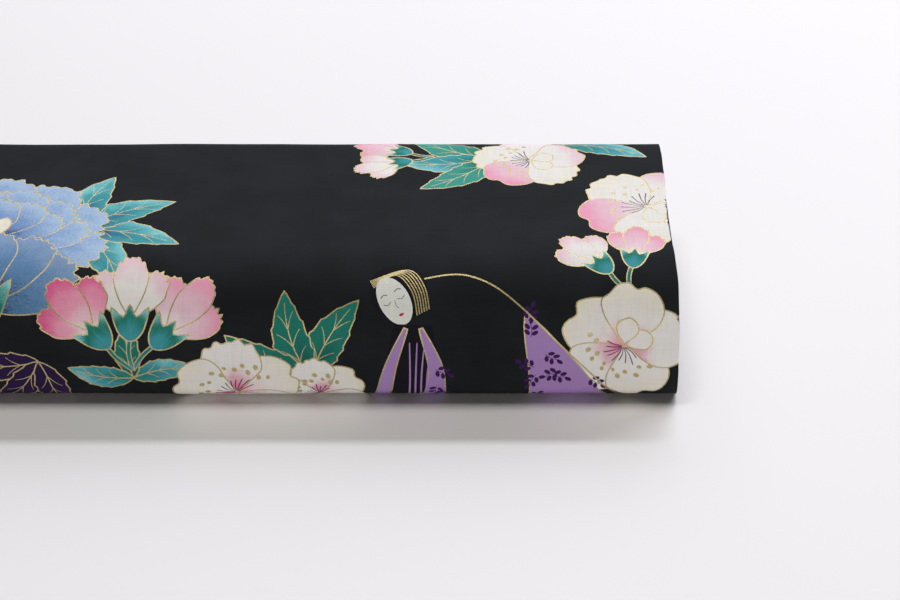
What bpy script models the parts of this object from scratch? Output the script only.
"""A bolt of printed cotton: doubled cloth wound flat round a corrugated cardboard board.

The bolt lies on its flat underside. X runs along the bolt from the selvage end to the fold end, -Y is the
front edge and +Z is up. The origin is at the middle of the underside. Lengths are in metres.
"""

import math

import bmesh
import bpy
from mathutils import Vector

MM = 0.001

# Driving dimensions of the wound cloth
CLOTH_WIDTH = 1.100  # the cloth as woven, from selvage to selvage
FOLDED_WIDTH = CLOTH_WIDTH / 2  # doubled lengthwise before it is wound
ROLL_DEPTH = 180 * MM
ROLL_HEIGHT = 74 * MM
FRONT_TOP_RADIUS = 40 * MM
BACK_TOP_RADIUS = 26 * MM
BOTTOM_RADIUS = 14 * MM
CROWN = 1.5 * MM  # how far the top swells between its round edges
TURN_THICK = 0.6 * MM  # two layers of cloth
GAP = 0.3 * MM  # between pieces that touch
TURN_PITCH = TURN_THICK + GAP
TAIL_HEIGHT = 21 * MM  # where the loose end stops, on the back edge
TAIL_OVERLAP = 23 * MM  # how much of the last turn lies double
STEP_LENGTH = 8 * MM  # the cloth steps out to the surface over this distance

# Driving dimensions of the board
BOARD_LENGTH = 559 * MM
BOARD_WIDTH = 155 * MM
BOARD_THICK = 18 * MM
BOARD_HEIGHT = ROLL_HEIGHT / 2
BOARD_STICKS_OUT = 12 * MM  # past the selvages
BOARD_RECESS = 3 * MM  # inside the cloth's fold
LINER_THICK = 0.5 * MM
FLUTE_THICK = 0.35 * MM
WALL_THICK = 4.0 * MM  # outer liner, fluting and inner liner together
FLUTE_PITCH = 7.9 * MM
POINTS_PER_FLUTE = 8
CREASE_RADIUS = 5.5 * MM  # of the outer face

# Driving dimensions of the small pieces
SPACER_THICK = 4 * MM
SPACER_OFFSET = 30 * MM  # each spacer's distance from the board's middle
SPACER_END_GAP = 32 * MM
FLAP_THICK = 1.6 * MM  # board crushed thin at its creases
FLAP_TONGUE = 24 * MM
FLAP_SIDE_GAP = 1.5 * MM
LABEL_THICK = 0.3 * MM
LABEL_SIZE = (120 * MM, 14 * MM)
TAPE_THICK = 0.3 * MM
TAPE_SIZE = (48 * MM, 60 * MM)

# Places along X, with the origin at the middle of the whole length
LABEL_OUT = GAP + LABEL_THICK
WHOLE_LENGTH = FOLDED_WIDTH + BOARD_STICKS_OUT + LABEL_OUT
FOLD_END = WHOLE_LENGTH / 2
SELVAGE_END = FOLD_END - FOLDED_WIDTH
BOARD_FOLD_END = FOLD_END - BOARD_RECESS
BOARD_LABEL_END = BOARD_FOLD_END - BOARD_LENGTH
BOARD_MIDDLE = (BOARD_FOLD_END + BOARD_LABEL_END) / 2
CLOTH_MIDDLE = (FOLD_END + SELVAGE_END) / 2

ARC_STEP = math.radians(6)
CREASE_STEP = math.radians(22.5)
CROWN_STEPS = 12

# How a flat outline is turned so that it is extruded along an axis
ALONG_X = (math.radians(90), 0, math.radians(90))  # outline in Y and Z
ALONG_Y = (math.radians(90), 0, 0)  # outline in X and Z


def clear_scene():
    """Removes every object, so that the scene holds the bolt alone."""
    for obj in list(bpy.data.objects):
        bpy.data.objects.remove(obj, do_unlink=True)


def make_collection(name):
    """A new collection in the scene."""
    collection = bpy.data.collections.new(name)
    bpy.context.scene.collection.children.link(collection)
    return collection


def make_material(name, colour, roughness):
    """A Principled material of one colour."""
    material = bpy.data.materials.new(name)
    material.use_nodes = True
    shader = material.node_tree.nodes["Principled BSDF"]
    shader.inputs["Base Color"].default_value = (*colour, 1)
    shader.inputs["Roughness"].default_value = roughness
    return material


def corner(centre, radius, first_degrees, step):
    """A quarter circle, run clockwise, as pairs of a place and its outward normal."""
    count = round(math.radians(90) / step)
    pairs = []
    for index in range(count + 1):
        angle = math.radians(first_degrees - 90 * index / count)
        normal = Vector((math.cos(angle), math.sin(angle)))
        pairs.append((Vector(centre) + radius * normal, normal))
    return pairs


def roll_section():
    """The roll's section from high on its back edge: down, under, up the front and over the top.

    Each pair is a place in Y and Z and its outward normal. The last place is the loose end.
    """
    half = ROLL_DEPTH / 2
    shoulder = ROLL_HEIGHT - CROWN
    back = Vector((1, 0))
    start = (Vector((half, TAIL_HEIGHT + TAIL_OVERLAP)), back)
    under_tail = (Vector((half, TAIL_HEIGHT)), back)
    tail = (Vector((half, TAIL_HEIGHT)), back)
    low_back = corner((half - BOTTOM_RADIUS, BOTTOM_RADIUS), BOTTOM_RADIUS, 0, ARC_STEP)
    low_front = corner((BOTTOM_RADIUS - half, BOTTOM_RADIUS), BOTTOM_RADIUS, 270, ARC_STEP)
    high_front = corner(
        (FRONT_TOP_RADIUS - half, shoulder - FRONT_TOP_RADIUS), FRONT_TOP_RADIUS, 180, ARC_STEP
    )
    high_back = corner(
        (half - BACK_TOP_RADIUS, shoulder - BACK_TOP_RADIUS), BACK_TOP_RADIUS, 90, ARC_STEP
    )
    top_front, top_back = high_front[-1][0], high_back[0][0]
    top = [
        (top_front.lerp(top_back, index / CROWN_STEPS), Vector((0, 1)))
        for index in range(1, CROWN_STEPS)
    ]
    upper = [(swell(place), normal) for place, normal in [*high_front, *top, *high_back]]
    return [start, under_tail, *low_back, *low_front, *upper, start, tail]


def swell(place):
    """Raises a place of the upper half by the crown, most in the middle of the top."""
    height = max(0.0, place.y / (ROLL_HEIGHT - CROWN) - 0.4) / 0.6
    across = 2 * place.x / ROLL_DEPTH
    return place + Vector((0, CROWN * (1 - across**2) * height**2))


def outer_turn_insets(section):
    """How far inside the surface each place of the last turn lies: one turn in, under the loose end."""
    surface_from = TAIL_HEIGHT - STEP_LENGTH
    insets = []
    for index, (place, _) in enumerate(section):
        first_points = index < len(section) // 2
        under = first_points and place.x > 0 and place.y > surface_from
        blend = min(1.0, (place.y - surface_from) / STEP_LENGTH) if under else 0.0
        insets.append(TURN_PITCH * blend)
    return insets


def inset_points(section, insets, extra):
    """The places of a section moved inwards by their insets and by an extra distance."""
    return [
        tuple(place - normal * (inset + extra)) for (place, normal), inset in zip(section, insets)
    ]


def board_outline(grow):
    """The board's section with its round creases, grown outwards all round, in Y and Z."""
    radius = CREASE_RADIUS + grow
    across, up = BOARD_WIDTH / 2 - CREASE_RADIUS, BOARD_THICK / 2 - CREASE_RADIUS
    points = []
    for sign_y, sign_z, first in ((1, 1, 90), (1, -1, 0), (-1, -1, 270), (-1, 1, 180)):
        centre = (sign_y * across, BOARD_HEIGHT + sign_z * up)
        points += [tuple(place) for place, _ in corner(centre, radius, first, CREASE_STEP)]
    return points


def evenly_spaced(outline, count):
    """Count places at equal distances along a closed clockwise outline, each with its outward normal."""
    corners = [Vector(point) for point in outline]
    ends = corners[1:] + corners[:1]
    lengths = [(end - begin).length for begin, end in zip(corners, ends)]
    pairs = []
    edge, passed = 0, 0.0
    for index in range(count):
        target = sum(lengths) * index / count
        while passed + lengths[edge] < target:
            passed += lengths[edge]
            edge += 1
        along = (ends[edge] - corners[edge]).normalized()
        pairs.append((corners[edge] + along * (target - passed), Vector((-along.y, along.x))))
    return pairs


def extrude_outline(name, loops, length, middle, turn, material, collection):
    """A solid made of a flat outline, with its holes, extruded to length about the point middle."""
    curve = bpy.data.curves.new(name, "CURVE")
    curve.dimensions = "2D"
    curve.fill_mode = "BOTH"
    curve.extrude = length / 2
    for loop in loops:
        spline = curve.splines.new("POLY")
        spline.points.add(len(loop) - 1)
        for point, (x, y) in zip(spline.points, loop):
            point.co = (x, y, 0, 1)
        spline.use_cyclic_u = True
    curve.materials.append(material)
    obj = bpy.data.objects.new(name, curve)
    obj.rotation_euler = turn
    obj.location = middle
    collection.objects.link(obj)
    return obj


def add_box(name, size, centre, material, collection):
    """A plain box."""
    bm = bmesh.new()
    bmesh.ops.create_cube(bm, size=1)
    bmesh.ops.scale(bm, vec=size, verts=bm.verts)
    mesh = bpy.data.meshes.new(name)
    bm.to_mesh(mesh)
    bm.free()
    mesh.materials.append(material)
    obj = bpy.data.objects.new(name, mesh)
    obj.location = centre
    collection.objects.link(obj)
    return obj


def build_liners(collection, kraft):
    """The smooth outer and inner faces of the corrugated board, folded into a flat tube."""
    for name, inset in (
        ("board_outer_liner", 0),
        ("board_inner_liner", WALL_THICK - LINER_THICK),
    ):
        loops = [
            board_outline(-side)
            for side in (inset, inset + LINER_THICK)
        ]
        extrude_outline(name, loops, BOARD_LENGTH, (BOARD_MIDDLE, 0, 0), ALONG_X, kraft, collection)


def build_fluting(collection, fluting_paper):
    """The waved paper between the liners. Its flutes run the length of the board."""
    inset = WALL_THICK / 2
    wave_height = inset - LINER_THICK - GAP - FLUTE_THICK / 2
    middle_line = board_outline(-inset)
    girth = 2 * (BOARD_WIDTH + BOARD_THICK - 4 * inset)
    points = round(girth / FLUTE_PITCH) * POINTS_PER_FLUTE
    outside, inside = [], []
    for index, (place, normal) in enumerate(evenly_spaced(middle_line, points)):
        wave = wave_height * math.sin(math.tau * index / POINTS_PER_FLUTE)
        outside.append(tuple(place + normal * (wave + FLUTE_THICK / 2)))
        inside.append(tuple(place + normal * (wave - FLUTE_THICK / 2)))
    extrude_outline(
        "board_fluting",
        [outside, inside],
        BOARD_LENGTH,
        (BOARD_MIDDLE, 0, 0),
        ALONG_X,
        fluting_paper,
        collection,
    )


def build_spacers(collection, kraft):
    """Two strips of board that stand on edge inside the tube and keep its faces apart."""
    size = (
        BOARD_LENGTH - 2 * SPACER_END_GAP,
        SPACER_THICK,
        BOARD_THICK - 2 * WALL_THICK - 2 * GAP,
    )
    for name, side in (("board_spacer_front", -1), ("board_spacer_back", 1)):
        add_box(name, size, (BOARD_MIDDLE, side * SPACER_OFFSET, BOARD_HEIGHT), kraft, collection)


def build_flaps(collection, kraft):
    """One flap at each end, folded across the tube's mouth with its tongue tucked inside."""
    inside_top = BOARD_THICK / 2 - WALL_THICK - GAP
    width = BOARD_WIDTH - 2 * WALL_THICK - 2 * FLAP_SIDE_GAP
    high, low = BOARD_HEIGHT + inside_top, BOARD_HEIGHT - inside_top
    for name, end, inwards in (
        ("board_flap_fold_end", BOARD_FOLD_END, -1),
        ("board_flap_label_end", BOARD_LABEL_END, 1),
    ):
        face_back = end + inwards * FLAP_THICK
        tip = end + inwards * FLAP_TONGUE
        outline = [
            (end, high),
            (tip, high),
            (tip, high - FLAP_THICK),
            (face_back, high - FLAP_THICK),
            (face_back, low),
            (end, low),
        ]
        extrude_outline(name, [outline], width, (0, 0, 0), ALONG_Y, kraft, collection)


def build_papers(collection, label_paper, tape_paper):
    """The label on the end that sticks out, and the tape that holds the first turn to the board."""
    width, height = LABEL_SIZE
    place = (BOARD_LABEL_END - GAP - LABEL_THICK / 2, 0, BOARD_HEIGHT)
    add_box("end_label", (LABEL_THICK, width, height), place, label_paper, collection)
    length, width = TAPE_SIZE
    place = (0, 0, BOARD_HEIGHT + BOARD_THICK / 2 + GAP + TAPE_THICK / 2)
    add_box("start_tape", (length, width, TAPE_THICK), place, tape_paper, collection)


def build_cloth(collection, cloth):
    """The wound cloth: the inner turns as one sleeve, and the last turn with its loose end."""
    middle = (CLOTH_MIDDLE, 0, 0)
    section = roll_section()
    insets = outer_turn_insets(section)

    turn_outside = inset_points(section, insets, 0)
    turn_inside = inset_points(section, insets, TURN_THICK)
    for side in (turn_outside, turn_inside):
        side[0] = (side[0][0], side[0][1] - GAP)
    extrude_outline(
        "cloth_outer_turn",
        [turn_outside + turn_inside[::-1]],
        FOLDED_WIDTH,
        middle,
        ALONG_X,
        cloth,
        collection,
    )

    sleeve_outside = inset_points(section, insets, TURN_PITCH)[:-1]
    slot = board_outline(GAP + TAPE_THICK + GAP)
    extrude_outline(
        "cloth_inner_turns", [sleeve_outside, slot], FOLDED_WIDTH, middle, ALONG_X, cloth, collection
    )


def main():
    """Builds every piece of the bolt."""
    clear_scene()
    bolt = make_collection("fabric_bolt")
    cloth = make_material("black_cotton", (0.018, 0.018, 0.022), 0.85)
    kraft = make_material("kraft_liner", (0.46, 0.31, 0.18), 0.9)
    fluting_paper = make_material("fluting_paper", (0.40, 0.27, 0.16), 0.9)
    label_paper = make_material("label_paper", (0.85, 0.84, 0.80), 0.7)
    tape_paper = make_material("tape_paper", (0.72, 0.62, 0.42), 0.6)
    build_liners(bolt, kraft)
    build_fluting(bolt, fluting_paper)
    build_spacers(bolt, kraft)
    build_flaps(bolt, kraft)
    build_papers(bolt, label_paper, tape_paper)
    build_cloth(bolt, cloth)


if __name__ == "__main__":
    main()
